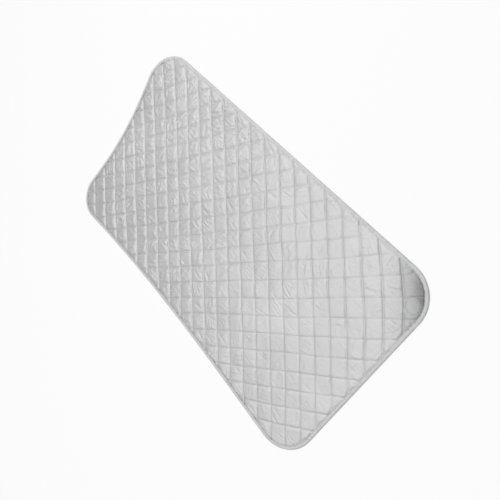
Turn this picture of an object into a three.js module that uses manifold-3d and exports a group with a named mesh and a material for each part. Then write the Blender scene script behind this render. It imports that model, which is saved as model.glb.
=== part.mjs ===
// A quilted ironing pad: a silver-coated cloth and a plain backing cloth with wadding between
// them, quilted in diamonds, bound all round with a folded tape, with a disc magnet sewn into
// each corner. Millimetres, +Z up. X runs along the pad, the origin is under its middle, and
// the pad lies on the plane z = 0.
import * as THREE from 'three';
import { mergeVertices } from 'three/addons/utils/BufferGeometryUtils.js';
import Module from 'manifold-3d';

const wasm = await Module();
wasm.setup();

// Outline, seen from above
const padLength = 850;
const padWidth = 465;
const backRightRadius = 72;
const backLeftRadius = 77;
const frontLeftRadius = 60;
const frontRightRadius = 73;
const frontLeftInset = 4.5; // the left end slants in by this much at its front corner
const leftDrawIn = 16.5; // pull of the binding at the middle of the left end
const frontDrawIn = 13; // pull of the binding near the middle of the front side
const frontLean = 0.85; // under 1 moves the front side's pull towards the left end
const bowPower = 1.2; // 1 spreads the pull evenly along a side, more keeps it to the middle
const cornerSteps = 7;
const longSideSteps = 8;
const shortSideSteps = 6;

// Cloths and wadding
const coverThickness = 0.4;
const backingThickness = 0.4;
const puffHeight = 2.5; // crown of a diamond above its seams
const pocketRoof = 0.5; // wadding left over a magnet
const stepRun = 4; // run in which the backing rises onto the binding's lower lip

// Quilting: two families of straight seams, each with its own direction and spacing
const risingAngle = 44.8;
const fallingAngle = -46.4;
const risingCell = 33.9; // from crossing to crossing along a rising seam
const fallingCell = 35.5; // from crossing to crossing along a falling seam
const quiltX = -0.1; // one crossing of the two families
const quiltY = 15.2;
const leastSeamLength = 90; // across a corner, a seam shorter than this is not sewn

// Threads
const threadWidth = 0.4;
const threadThickness = 0.25;
const threadMargin = 4; // from the pad's edge to where a quilting thread turns back

// Binding tape, folded round the edge
const bindingWidth = 8;
const tapeThickness = 0.5;
const foldRadius = 2;
const foldSteps = 2;
const stitchInset = 1.8; // from the tape's inner edge to the stitches that hold it

// Magnets
const magnetDiameter = 22;
const magnetThickness = 1.5;
const magnetEndInset = 28; // from the pad's end to the magnet's centre
const magnetSideInset = 55; // from the pad's long side to the magnet's centre
const magnetSides = 32;

// Clearances
const fitGap = 0.3; // between layers that lie on each other
const threadGap = 0.1; // between a thread and what it lies on
const hairBulge = 1e-9; // keeps points in line apart where an area is filled

// Heights of the layers, from the ground up
const backingRim = tapeThickness + fitGap;
const waddingRest = backingThickness + fitGap;
const seamTop = waddingRest + magnetThickness + fitGap + pocketRoof;
const coverSeam = seamTop + fitGap;
const risingThreadZ = coverSeam + coverThickness + threadGap;
const fallingThreadZ = risingThreadZ + threadThickness + threadGap;
const upperLip = fallingThreadZ + threadThickness + threadGap;
const bindingHeight = upperLip + tapeThickness;

// Distances in from the pad's edge
const layerInset = foldRadius + fitGap;
const lipInset = bindingWidth + fitGap;
const flatInset = lipInset + stepRun;

// The corners, anticlockwise from the back right one, and the sides, each after its corner
const corners = [
  { signX: 1, signY: 1, radius: backRightRadius, inset: 0 },
  { signX: -1, signY: 1, radius: backLeftRadius, inset: 0 },
  { signX: -1, signY: -1, radius: frontLeftRadius, inset: frontLeftInset },
  { signX: 1, signY: -1, radius: frontRightRadius, inset: 0 },
];
const sides = [
  { drawIn: 0, lean: 1, steps: 1 },
  { drawIn: leftDrawIn, lean: 1, steps: shortSideSteps },
  { drawIn: frontDrawIn, lean: frontLean, steps: longSideSteps },
  { drawIn: 0, lean: 1, steps: 1 },
];

// The pull at a share of a side's straight run: full near its middle, gone where the corners begin
function bow(share, lean) {
  const leaned = share ** lean;
  return (4 * leaned * (1 - leaned)) ** bowPower;
}

// The pad's outline moved in by a distance, anticlockwise, always with the same number of points
function outline(inset) {
  const arcs = corners.map((corner, turn) => {
    const { signX, signY, radius } = corner;
    const centre = new THREE.Vector2(padLength / 2 - corner.inset - radius, padWidth / 2 - radius);
    centre.multiply(new THREE.Vector2(signX, signY));
    const arc = [];
    for (let step = 0; step <= cornerSteps; step += 1) {
      const angle = (turn + step / cornerSteps) * (Math.PI / 2);
      arc.push(new THREE.Vector2(radius - inset, 0).rotateAround(new THREE.Vector2(), angle).add(centre));
    }
    return arc;
  });
  return arcs.flatMap((arc, turn) => {
    const { drawIn, lean, steps } = sides[turn];
    const from = arc[cornerSteps];
    const to = arcs[(turn + 1) % corners.length][0];
    const inward = to.clone().sub(from).normalize().rotateAround(new THREE.Vector2(), Math.PI / 2);
    const side = [];
    for (let step = 1; step < steps; step += 1) {
      const share = step / steps;
      side.push(from.clone().lerp(to, share).addScaledVector(inward, drawIn * bow(share, lean)));
    }
    return [...arc, ...side];
  });
}

function isInside(loop, point) {
  let inside = false;
  loop.forEach((a, k) => {
    const b = loop[(k + 1) % loop.length];
    const straddles = (a.y > point.y) !== (b.y > point.y);
    if (straddles && point.x < a.x + ((point.y - a.y) / (b.y - a.y)) * (b.x - a.x)) {
      inside = !inside;
    }
  });
  return inside;
}

// The quilting's crossings, i cells along the rising seams and j along the falling ones
const toRadians = THREE.MathUtils.degToRad;
const rising = new THREE.Vector2(Math.cos(toRadians(risingAngle)), Math.sin(toRadians(risingAngle)));
const falling = new THREE.Vector2(Math.cos(toRadians(fallingAngle)), Math.sin(toRadians(fallingAngle)));
const reach = Math.ceil((padLength + padWidth) / Math.min(risingCell, fallingCell));

function crossing(i, j) {
  const point = new THREE.Vector2(quiltX, quiltY);
  return point.addScaledVector(rising, i * risingCell).addScaledVector(falling, j * fallingCell);
}

// Triangles between an outer loop and an optional inner one, as anticlockwise index triples
function fillBetween(outer, inner) {
  const all = [...outer, ...inner];
  const holes = inner.length > 0 ? [inner] : [];
  return THREE.ShapeUtils.triangulateShape([...outer], holes).map(([a, b, c]) => {
    const turnsLeft = all[b].clone().sub(all[a]).cross(all[c].clone().sub(all[a])) > 0;
    return turnsLeft ? [a, b, c] : [a, c, b];
  });
}

// A point moved a hair towards the middle, more the farther out it is, so that a straight run of
// points bulges outwards and no three of them lie in line
function bulged(point) {
  return point.clone().multiplyScalar(1 - hairBulge * point.lengthSq());
}

// Plan of a quilted layer. Every diamond that lies whole inside the binding is a four-sided puff
// round its crown, and the border between those diamonds and the layer's edge is flat.
// Each plan starts with its edge loop, and lift is 1 at a crown and 0 elsewhere.
function quiltPlan() {
  const edge = outline(layerInset);
  const field = outline(lipInset);
  const points = [...edge];
  const lift = edge.map(() => 0);
  const triangles = [];
  const indexOf = new Map();
  const diamondSides = new Map();
  const corner = (i, j) => {
    const key = `${i},${j}`;
    if (!indexOf.has(key)) {
      indexOf.set(key, points.length);
      points.push(crossing(i, j));
      lift.push(0);
    }
    return indexOf.get(key);
  };
  for (let i = -reach; i < reach; i += 1) {
    for (let j = -reach; j < reach; j += 1) {
      const ring = [[i, j], [i, j + 1], [i + 1, j + 1], [i + 1, j]];
      if (ring.every(([u, v]) => isInside(field, crossing(u, v)))) {
        const around = ring.map(([u, v]) => corner(u, v));
        const crown = points.length;
        points.push(crossing(i + 0.5, j + 0.5));
        lift.push(1);
        around.forEach((from, k) => {
          const to = around[(k + 1) % 4];
          triangles.push([from, to, crown]);
          diamondSides.set(`${from}>${to}`, [from, to]);
        });
      }
    }
  }
  const rim = rimLoop(diamondSides);
  const names = [...edge.keys(), ...rim];
  const border = fillBetween(edge, rim.map((index) => bulged(points[index])));
  border.forEach((triple) => triangles.push(triple.map((index) => names[index])));
  return { points, lift, triangles, edge };
}

// The sides that belong to one diamond only, chained into the loop round all the diamonds
function rimLoop(links) {
  const open = [...links.values()].filter(([from, to]) => !links.has(`${to}>${from}`));
  const next = new Map(open);
  const [first] = next.keys();
  const loop = [first];
  for (let at = next.get(first); at !== first; at = next.get(at)) {
    loop.push(at);
  }
  return loop;
}

// Plan of a plain layer: rings at the given insets, the innermost one filled. lift is 1 on the
// outer rings, which lie over the binding's lower lip, and 0 on the innermost.
function ringPlan(insets) {
  const rings = insets.map(outline);
  const count = rings[0].length;
  const points = rings.flat();
  const lift = rings.flatMap((ring, k) => ring.map(() => (k < rings.length - 1 ? 1 : 0)));
  const triangles = [];
  for (let k = 0; k + 1 < rings.length; k += 1) {
    for (let a = 0; a < count; a += 1) {
      const b = (a + 1) % count;
      const outerA = k * count + a;
      const outerB = k * count + b;
      triangles.push([outerA, outerB, outerB + count], [outerA, outerB + count, outerA + count]);
    }
  }
  const start = (rings.length - 1) * count;
  const middle = fillBetween(rings[rings.length - 1], []);
  middle.forEach((triple) => triangles.push(triple.map((index) => index + start)));
  return { points, lift, triangles, edge: rings[0] };
}

// A closed layer between two plans that share their edge loop, each with its height and its rise
function layer(top, topZ, topRise, bottom, bottomZ, bottomRise) {
  const position = [];
  top.points.forEach((p, k) => position.push(p.x, p.y, topZ + topRise * top.lift[k]));
  bottom.points.forEach((p, k) => position.push(p.x, p.y, bottomZ + bottomRise * bottom.lift[k]));
  const below = top.points.length;
  const index = top.triangles.flat();
  bottom.triangles.forEach(([a, b, c]) => index.push(below + a, below + c, below + b));
  const count = top.edge.length;
  for (let a = 0; a < count; a += 1) {
    const b = (a + 1) % count;
    index.push(below + a, below + b, b, below + a, b, a);
  }
  const geometry = new THREE.BufferGeometry();
  geometry.setAttribute('position', new THREE.Float32BufferAttribute(position, 3));
  geometry.setIndex(index);
  return geometry;
}

// A plate with the given outline from one height to another, with its edges rounded if asked
function plate(loop, low, high, rounding) {
  const geometry = new THREE.ExtrudeGeometry(new THREE.Shape(loop), {
    depth: high - low - 2 * rounding,
    bevelEnabled: rounding > 0,
    bevelSize: rounding,
    bevelThickness: rounding,
    bevelSegments: foldSteps,
  });
  geometry.translate(0, 0, low + rounding);
  return geometry;
}

function disc(diameter, height, x, y, low) {
  const geometry = new THREE.CylinderGeometry(diameter / 2, diameter / 2, height, magnetSides);
  geometry.rotateX(Math.PI / 2);
  geometry.translate(x, y, low + height / 2);
  return geometry;
}

// Solids for joining and cutting
function solidOf(geometry) {
  const bare = geometry.clone();
  bare.deleteAttribute('normal');
  bare.deleteAttribute('uv');
  const merged = mergeVertices(bare, 1e-4);
  return new wasm.Manifold(new wasm.Mesh({
    numProp: 3,
    vertProperties: new Float32Array(merged.attributes.position.array),
    triVerts: new Uint32Array(merged.index.array),
  }));
}

function geometryOf(solid) {
  const mesh = solid.getMesh();
  const geometry = new THREE.BufferGeometry();
  geometry.setAttribute('position', new THREE.BufferAttribute(mesh.vertProperties, 3));
  geometry.setIndex(new THREE.BufferAttribute(mesh.triVerts, 1));
  return geometry;
}

function cut(body, ...tools) {
  const solids = tools.map(solidOf);
  return geometryOf(solids.reduce((rest, tool) => rest.subtract(tool), solidOf(body)));
}

// The outline of a flat thread along a route, mitred at its turns
function ribbon(route) {
  const leftOf = (from, to) => {
    const run = to.clone().sub(from).normalize();
    return new THREE.Vector2(-run.y, run.x);
  };
  const last = route.length - 1;
  const sideways = route.map((point, k) => {
    const here = leftOf(route[Math.max(k - 1, 0)], route[Math.max(k, 1)]);
    const next = leftOf(route[Math.min(k, last - 1)], route[Math.min(k + 1, last)]);
    const mitre = here.clone().add(next).normalize();
    return mitre.multiplyScalar(threadWidth / 2 / mitre.dot(here));
  });
  const left = route.map((point, k) => point.clone().add(sideways[k]));
  const right = route.map((point, k) => point.clone().sub(sideways[k]));
  return [...right, ...left.reverse()];
}

// Where a seam meets a loop: its first and last point on it, or nothing where it misses
function chord(loop, through, direction) {
  const hits = [];
  loop.forEach((a, k) => {
    const side = loop[(k + 1) % loop.length].clone().sub(a);
    const spread = direction.cross(side);
    const offset = a.clone().sub(through);
    const share = offset.cross(direction) / spread;
    if (share >= 0 && share < 1) {
      hits.push(offset.cross(side) / spread);
    }
  });
  const ends = [Math.min(...hits), Math.max(...hits)];
  return hits.length > 1 ? ends.map((t) => through.clone().addScaledVector(direction, t)) : null;
}

// All the seams of one family, sewn with one unbroken thread that turns back under the binding
function quiltingThread(direction, seamAt, low) {
  const turns = outline(threadMargin);
  const seams = [];
  for (let k = -reach; k <= reach; k += 1) {
    const ends = chord(turns, seamAt(k), direction);
    if (ends && ends[0].distanceTo(ends[1]) > leastSeamLength) {
      seams.push(seams.length % 2 === 0 ? ends : ends.reverse());
    }
  }
  return plate(ribbon(seams.flat()), low, low + threadThickness, 0);
}

// Layers
const quilt = quiltPlan();
const plain = ringPlan([layerInset, lipInset, flatInset]);

const coverShape = layer(quilt, coverSeam + coverThickness, puffHeight, quilt, coverSeam, puffHeight);
const backingShape = layer(plain, backingThickness, backingRim, plain, 0, backingRim);

const magnetX = padLength / 2 - magnetEndInset;
const magnetY = padWidth / 2 - magnetSideInset;
const magnetPlaces = {
  magnet_front_left: [-magnetX, -magnetY],
  magnet_front_right: [magnetX, -magnetY],
  magnet_back_left: [-magnetX, magnetY],
  magnet_back_right: [magnetX, magnetY],
};
const pocketWidth = magnetDiameter + 2 * fitGap;
const pocketTop = waddingRest + magnetThickness + fitGap;
const pockets = Object.values(magnetPlaces).map(([x, y]) => disc(pocketWidth, pocketTop, x, y, 0));
const waddingShape = cut(layer(quilt, seamTop, puffHeight, plain, waddingRest, backingRim), ...pockets);

// Binding: a plate with a rounded edge, hollowed for the layers and open in the middle
const bindingShape = cut(
  plate(outline(foldRadius), 0, bindingHeight, foldRadius),
  plate(outline(foldRadius), tapeThickness, upperLip, foldRadius - tapeThickness),
  plate(outline(bindingWidth), -fitGap, bindingHeight + fitGap, 0),
);

const stitchLow = bindingHeight + threadGap;
const stitchLine = bindingWidth - stitchInset;
const bindingThreadShape = cut(
  plate(outline(stitchLine - threadWidth), stitchLow, stitchLow + threadThickness, 0),
  plate(outline(stitchLine), bindingHeight, stitchLow + 2 * threadThickness, 0),
);

// Materials
const silver = { color: 0xc6c7c9, roughness: 0.45, metalness: 0.25 };
const tape = { color: 0xbfc0c2, roughness: 0.6, metalness: 0.1 };
const backingCloth = { color: 0xd6d6d4, roughness: 0.9, metalness: 0 };
const fibre = { color: 0xf2f2ee, roughness: 1, metalness: 0 };
const thread = { color: 0xcfd0d1, roughness: 0.7, metalness: 0 };
const ferrite = { color: 0x3a3a3c, roughness: 0.6, metalness: 0.2 };

function piece(name, geometry, look) {
  const mesh = new THREE.Mesh(geometry, new THREE.MeshStandardMaterial(look));
  mesh.name = name;
  return mesh;
}

const pad = new THREE.Group();
pad.add(
  piece('backing', backingShape, backingCloth),
  piece('wadding', waddingShape, fibre),
  piece('top_cover', coverShape, silver),
  piece('edge_binding', bindingShape, tape),
  piece('binding_thread', bindingThreadShape, thread),
  piece('quilting_thread_rising', quiltingThread(rising, (k) => crossing(0, k), risingThreadZ), thread),
  piece('quilting_thread_falling', quiltingThread(falling, (k) => crossing(k, 0), fallingThreadZ), thread),
);

Object.entries(magnetPlaces).forEach(([name, [x, y]]) => {
  pad.add(piece(name, disc(magnetDiameter, magnetThickness, x, y, waddingRest), ferrite));
});

export default pad;
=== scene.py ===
import math
import bmesh
import bpy
import numpy as np
from mathutils import Matrix, Vector


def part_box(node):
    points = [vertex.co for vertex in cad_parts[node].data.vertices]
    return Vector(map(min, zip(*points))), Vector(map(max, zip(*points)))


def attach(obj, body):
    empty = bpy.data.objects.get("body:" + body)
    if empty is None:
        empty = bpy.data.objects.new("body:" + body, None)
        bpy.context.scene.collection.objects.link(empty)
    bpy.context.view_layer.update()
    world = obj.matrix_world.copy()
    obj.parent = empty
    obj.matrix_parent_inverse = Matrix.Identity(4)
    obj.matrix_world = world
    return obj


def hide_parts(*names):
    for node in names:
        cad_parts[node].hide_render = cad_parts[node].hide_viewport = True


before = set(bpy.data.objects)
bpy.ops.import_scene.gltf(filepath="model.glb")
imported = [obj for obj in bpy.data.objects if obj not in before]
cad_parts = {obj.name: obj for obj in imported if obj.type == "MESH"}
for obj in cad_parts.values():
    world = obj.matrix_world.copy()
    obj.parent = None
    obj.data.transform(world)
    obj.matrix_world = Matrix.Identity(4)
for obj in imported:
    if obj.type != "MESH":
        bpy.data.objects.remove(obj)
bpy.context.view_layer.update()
print("frame loaded:", len(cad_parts), "nodes")

mm = 0.001  # shapes are worked out in millimetres and put into meshes in metres
scene = bpy.context.scene
scene.view_settings.view_transform = "Standard"

# camera

cameraSetup = {
    "eye": (568.2, 429.2, 950.6),
    "target": (72.5, 24.7, 0.0),
    "imageUp": (-0.6560, 0.7544, 0.0211),
    "lens": 39.43,
    "sensor": 36.0,
    "clip": (0.01, 50.0),
}


# the camera's axes: it looks from the eye to the target, right is forward x up, and up is right x forward
def addCamera(setup):
    eye = Vector(setup["eye"]) * mm
    forward = (Vector(setup["target"]) * mm - eye).normalized()
    right = forward.cross(Vector(setup["imageUp"])).normalized()
    up = right.cross(forward)
    data = bpy.data.cameras.new("camera")
    data.lens = setup["lens"]
    data.sensor_width = setup["sensor"]
    data.clip_start, data.clip_end = setup["clip"]
    camera = bpy.data.objects.new("camera", data)
    axes = Matrix((right, up, -forward)).transposed().to_4x4()
    camera.matrix_world = Matrix.Translation(eye) @ axes
    scene.collection.objects.link(camera)
    scene.camera = camera


addCamera(cameraSetup)
print("camera set")

# curves that the shapes share


# 0 to 1 on the curve 3 t^2 - 2 t^3
def smoothStep(t):
    t = np.clip(t, 0.0, 1.0)
    return t * t * (3 - 2 * t)


# 0 at the first limit and 1 at the second, straight between them
def shareBetween(value, limits):
    return np.clip((value - limits[0]) / (limits[1] - limits[0]), 0, 1)


# rounded rise from 0 at the start of a run to 1 at its end: t (2 - t), t being the share of the run
def roundedRise(distance, run):
    t = np.minimum(distance / run, 1)
    return t * (2 - t)


# a bell: exp(-(d / width)^2)
def bell(distance, width):
    return np.exp(-(distance / width) ** 2)


# random waves over the pad: sum of sines in all directions with lengths between two limits, scaled by the
# root of half their number
def randomWaves(x, y, rng, shortest, longest, count=9):
    total = np.zeros_like(x)
    for _ in range(count):
        angle, phase = rng.uniform(0, 2 * np.pi, 2)
        length = rng.uniform(shortest, longest)
        total += np.sin(2 * np.pi * (x * np.cos(angle) + y * np.sin(angle)) / length + phase)
    return total / math.sqrt(count / 2)


# outline of the pad

padLow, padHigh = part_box("edge_binding")
padEdgeShape = {
    "halfLength": (padHigh[0] - padLow[0]) / 2 / mm,
    "halfWidth": (padHigh[1] - padLow[1]) / 2 / mm,
    # corners anticlockwise from the back right one, and the pull and lean of the side after each
    "radius": (72.0, 77.0, 60.0, 73.0),
    "signs": ((1, 1), (-1, 1), (-1, -1), (1, -1)),
    "slant": (0.0, 0.0, 4.5, 0.0),  # the left end stands in by this much at its front corner
    "pull": (0.0, 16.5, 13.0, 0.0),
    "lean": (1.0, 1.0, 0.85, 1.0),
    "pullPower": 1.2,
    "partPower": 9,  # the higher, the more sharply front and left part from back and right
}
cornerCentres = [
    (signX * (padEdgeShape["halfLength"] - slant - radius), signY * (padEdgeShape["halfWidth"] - radius))
    for (signX, signY), radius, slant in zip(
        padEdgeShape["signs"], padEdgeShape["radius"], padEdgeShape["slant"])
]


# pull of a side at a share of its straight run: pull * (4 s (1 - s)) to a power, s being the share to the
# side's lean, so that it is full near the middle and gone at the corners
def sidePull(share, turn):
    leaned = np.clip(share, 0.0, 1.0) ** padEdgeShape["lean"][turn]
    return padEdgeShape["pull"][turn] * (4 * leaned * (1 - leaned)) ** padEdgeShape["pullPower"]


# distance in from the pad's edge: corner radius less the distance to the corner's centre beyond that
# centre, and the least of the distances to the four sides elsewhere
def edgeDistance(x, y, shape=padEdgeShape):
    least = np.full(np.broadcast(x, y).shape, np.inf)
    beyond = np.zeros(least.shape, bool)
    rounded = np.zeros(least.shape)
    for turn, (signX, signY) in enumerate(shape["signs"]):
        centreX, centreY = cornerCentres[turn]
        nextX, nextY = cornerCentres[(turn + 1) % 4]
        inX, inY = signX * (x - centreX), signY * (y - centreY)
        here = (inX > 0) & (inY > 0)
        rounded = np.where(here, shape["radius"][turn] - np.hypot(inX, inY), rounded)
        beyond |= here
        angle = (turn + 1) * np.pi / 2
        outX, outY = round(math.cos(angle)), round(math.sin(angle))
        gone = (x - centreX) * -outY + (y - centreY) * outX
        share = gone / ((nextX - centreX) * -outY + (nextY - centreY) * outX)
        start = outX * centreX + outY * centreY + shape["radius"][turn]
        end = outX * nextX + outY * nextY + shape["radius"][(turn + 1) % 4]
        edge = start + (end - start) * np.clip(share, 0, 1) - sidePull(share, turn)
        least = np.minimum(least, edge - outX * x - outY * y)
    return np.where(beyond, rounded, least)


# the pad's edge moved in by each of some insets, anticlockwise from the back right: four quarter circles of
# the corner radius less the inset, joined by sides that are straight but for their pull
def edgeLoops(insets, arcSteps=26, sideStep=4.0, shape=padEdgeShape):
    insets = np.atleast_1d(np.asarray(insets, float))[:, None]
    xs, ys = [], []
    for turn in range(4):
        centreX, centreY = cornerCentres[turn]
        nextX, nextY = cornerCentres[(turn + 1) % 4]
        radius, nextRadius = shape["radius"][turn], shape["radius"][(turn + 1) % 4]
        angle = (turn + np.linspace(0, 1, arcSteps + 1)) * np.pi / 2
        xs.append(centreX + (radius - insets) * np.cos(angle))
        ys.append(centreY + (radius - insets) * np.sin(angle))
        run = math.hypot(nextX - centreX, nextY - centreY)
        share = np.linspace(0, 1, int(run / sideStep) + 1)[1:-1]
        outX, outY = np.cos(angle[-1]), np.sin(angle[-1])
        reach = radius + (nextRadius - radius) * share - insets - sidePull(share, turn)
        xs.append(centreX + (nextX - centreX) * share + outX * reach)
        ys.append(centreY + (nextY - centreY) * share + outY * reach)
    return np.concatenate(xs, axis=1), np.concatenate(ys, axis=1)


# a point near the pad's edge moved straight out or in to a given inset: by the slope of the edge distance
def snapToInset(x, y, inset, step=0.05):
    slopeX = (edgeDistance(x + step, y) - edgeDistance(x - step, y)) / (2 * step)
    slopeY = (edgeDistance(x, y + step) - edgeDistance(x, y - step)) / (2 * step)
    away = edgeDistance(x, y) - inset
    return x - slopeX * away, y - slopeY * away


# 1 beside the front and the left end of the outline, 0 beside the back and the right end: (1 - s) / 2, s
# being the sum of x and y to a high odd power, as shares of the half sizes, over the sum of their amounts
def frontOrLeft(x, y, shape=padEdgeShape):
    u = (x / shape["halfLength"]) ** shape["partPower"]
    v = (y / shape["halfWidth"]) ** shape["partPower"]
    return (1 - (u + v) / np.maximum(np.abs(u) + np.abs(v), 1e-12)) / 2


# 1 at the back right corner of the outline's box, fading as a bell of the given reach
def nearCorner(x, y, reach):
    return bell(np.hypot(x - padEdgeShape["halfLength"], y - padEdgeShape["halfWidth"]), reach)


# quilting

quilt = {
    "risingAngle": 44.8,
    "fallingAngle": -46.4,
    "risingCell": 33.9,   # from crossing to crossing along a rising seam
    "fallingCell": 35.5,  # and along a falling one
    "crossing": (-0.1, 15.2),
    "reach": 15,          # cells each way from the middle
    "fallingSeams": (-12, 11),  # first and last seam of each family
    "risingSeams": (-11, 11),
    "seamHeight": 3.7,
    "crown": 2.5,
    "lipRun": 9.0,        # run in which the cloth rises from the binding
    "lip": 8.0,           # inner edge of the binding
    "seed": 11,
}
allCells = (2 * quilt["reach"], 2 * quilt["reach"])

# how far the sewing runs off a straight grid: falling seams shift along the rising way, and rising seams
# along the falling way
drift = {
    "falling": {
        "level": 3.0, "lean": -1.8, "leanRun": 195.0, "bend": -2.5, "bendFrom": -100.0, "bendRun": 490.0,
    },
    "rising": {
        "level": 2.0, "leftEnd": 3.5, "rightEnd": 6.0, "tail": 6.0,
        "edges": -3.5, "rightEdges": -7.0, "edgeRun": 200.0,
        # where the shift towards an end starts, and its run
        "leftStep": (150.0, 220.0), "rightStep": (90.0, 190.0), "tailStep": (260.0, 150.0),
    },
    # shift of the falling seams in each corner and the reach of that shift
    "corners": (
        ((1, 1), 17.0, 120.0), ((-1, 1), -3.0, 90.0), ((-1, -1), -16.0, 140.0), ((1, -1), -4.0, 150.0),
    ),
    "wander": 0.55,
    "wanderLengths": (70, 200),
    "seed": 3,
}


# unit vector at an angle in degrees: its cosine and its sine
def wayAt(angle):
    return np.array([math.cos(math.radians(angle)), math.sin(math.radians(angle))])


risingWay = wayAt(quilt["risingAngle"])
fallingWay = wayAt(quilt["fallingAngle"])


# shifts of the seams at a place: the falling ones lean with y, bend with x squared and give way in the
# corners as bells, the rising ones slip on smooth steps towards both ends and bow with y squared, and both
# wander on long waves
def seamDrift(x, y):
    rng = np.random.default_rng(drift["seed"])
    ofFalling, ofRising = drift["falling"], drift["rising"]
    rise = ofFalling["level"] + ofFalling["lean"] * y / ofFalling["leanRun"]
    rise = rise + ofFalling["bend"] * ((x - ofFalling["bendFrom"]) / ofFalling["bendRun"]) ** 2
    for (signX, signY), shift, reach in drift["corners"]:
        cornerX, cornerY = signX * padEdgeShape["halfLength"], signY * padEdgeShape["halfWidth"]
        rise = rise + shift * bell(np.hypot(x - cornerX, y - cornerY), reach)
    towards = {"left": -x, "right": x, "tail": x}
    left, right, tail = (
        smoothStep((along - ofRising[name + "Step"][0]) / ofRising[name + "Step"][1])
        for name, along in towards.items()
    )
    fall = ofRising["level"] + ofRising["rightEnd"] * right + ofRising["leftEnd"] * left
    edges = ofRising["edges"] * (1 - right) + ofRising["rightEdges"] * right
    fall = fall + (y / ofRising["edgeRun"]) ** 2 * edges + ofRising["tail"] * tail
    rise = rise + drift["wander"] * randomWaves(x, y, rng, *drift["wanderLengths"])
    fall = fall + drift["wander"] * randomWaves(x, y, rng, *drift["wanderLengths"])
    return rise, fall


# place of quilting coordinates: the crossing plus p cells along the rising seams and q along the falling
# ones, plus the drift
def quiltPlace(p, q):
    up, down = p * quilt["risingCell"], q * quilt["fallingCell"]
    x = quilt["crossing"][0] + up * risingWay[0] + down * fallingWay[0]
    y = quilt["crossing"][1] + up * risingWay[1] + down * fallingWay[1]
    rise, fall = seamDrift(x, y)
    return x + rise * risingWay[0] + fall * fallingWay[0], y + rise * risingWay[1] + fall * fallingWay[1]


# grid over all cells with some steps a cell: quilting coordinates and their places
def quiltGrid(steps):
    line = np.arange(-quilt["reach"] * steps, quilt["reach"] * steps + 1) / steps
    p, q = np.meshgrid(line, line, indexing="ij")
    x, y = quiltPlace(p, q)
    return p, q, x, y


# number of the nearest seam of each family: the nearest whole number, within the first and the last seam
def nearestSeams(p, q):
    return np.clip(np.round(p), *quilt["fallingSeams"]), np.clip(np.round(q), *quilt["risingSeams"])


# distance in millimetres to the nearest seam of each family
def seamDistance(p, q):
    falling, rising = nearestSeams(p, q)
    return np.abs(p - falling) * quilt["risingCell"], np.abs(q - rising) * quilt["fallingCell"]


# number of the cell that a place lies in: that of the seam below it, the outer cells reaching to the binding
def cellOf(p, q):
    i = np.clip(np.floor(p), quilt["fallingSeams"][0] - 1, quilt["fallingSeams"][1])
    j = np.clip(np.floor(q), quilt["risingSeams"][0] - 1, quilt["risingSeams"][1])
    return i.astype(int), j.astype(int)


# place inside a cell in millimetres from its middle, along the rising and the falling way
def inCell(p, q):
    i, j = cellOf(p, q)
    return (p - i - 0.5) * quilt["risingCell"], (q - j - 0.5) * quilt["fallingCell"]


# one number per cell of a table, read at quilting coordinates
def perCell(table, p, q):
    i, j = cellOf(p, q)
    return table[i + quilt["reach"], j + quilt["reach"]]


# how full the cloth stands, 0 on a seam and 1 at a crown: product of the rounded rises from both seams and
# from the binding
def fullness(p, q, x, y):
    toFalling, toRising = seamDistance(p, q)
    toLip = np.maximum(edgeDistance(x, y) - quilt["lip"], 0)
    fromFalling = roundedRise(toFalling, quilt["risingCell"] / 2)
    fromRising = roundedRise(toRising, quilt["fallingCell"] / 2)
    return fromFalling * fromRising * roundedRise(toLip, quilt["lipRun"])


# meshes


# a mesh from points in millimetres and arrays of faces, as an object that rides on the pad
def addPiece(name, points, faces, material):
    mesh = bpy.data.meshes.new(name)
    mesh.from_pydata(np.asarray(points) * mm, [], [row for block in faces for row in block.tolist()])
    mesh.polygons.foreach_set("use_smooth", np.ones(len(mesh.polygons), bool))
    mesh.update()
    piece = bpy.data.objects.new(name, mesh)
    scene.collection.objects.link(piece)
    mesh.materials.append(material)
    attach(piece, "root")
    return piece


# one number per point, kept in the mesh for its material
def addPointValues(piece, name, values):
    attribute = piece.data.attributes.new(name, "FLOAT", "POINT")
    attribute.data.foreach_set("value", values.astype(np.float32))


# faces of the grid cells whose four corners are kept, with upward normals, and the open edges round them as
# pairs of grid numbers with the kept face on their left
def gridFaces(keep):
    number = np.arange(keep.size).reshape(keep.shape)
    whole = keep[:-1, :-1] & keep[1:, :-1] & keep[1:, 1:] & keep[:-1, 1:]
    corners = (number[:-1, :-1], number[:-1, 1:], number[1:, 1:], number[1:, :-1])
    faces = np.stack([corner[whole] for corner in corners], axis=-1)
    padded = np.pad(whole, 1)
    middle = padded[1:-1, 1:-1]
    beside = (padded[:-2, 1:-1], padded[1:-1, 2:], padded[2:, 1:-1], padded[1:-1, :-2])
    edges = []
    for k in range(4):
        isOpen = middle & ~beside[k]
        edges.append(np.stack([corners[k][isOpen], corners[(k + 1) % 4][isOpen]], axis=-1))
    return faces, np.concatenate(edges)


# numbers of the used points counted from 0, in place of their grid numbers
def compact(faces, *others):
    used = np.unique(faces)
    lookup = np.full(used.max() + 1, -1)
    lookup[used] = np.arange(len(used))
    return (used, lookup[faces]) + tuple(lookup[other] for other in others)


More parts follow.
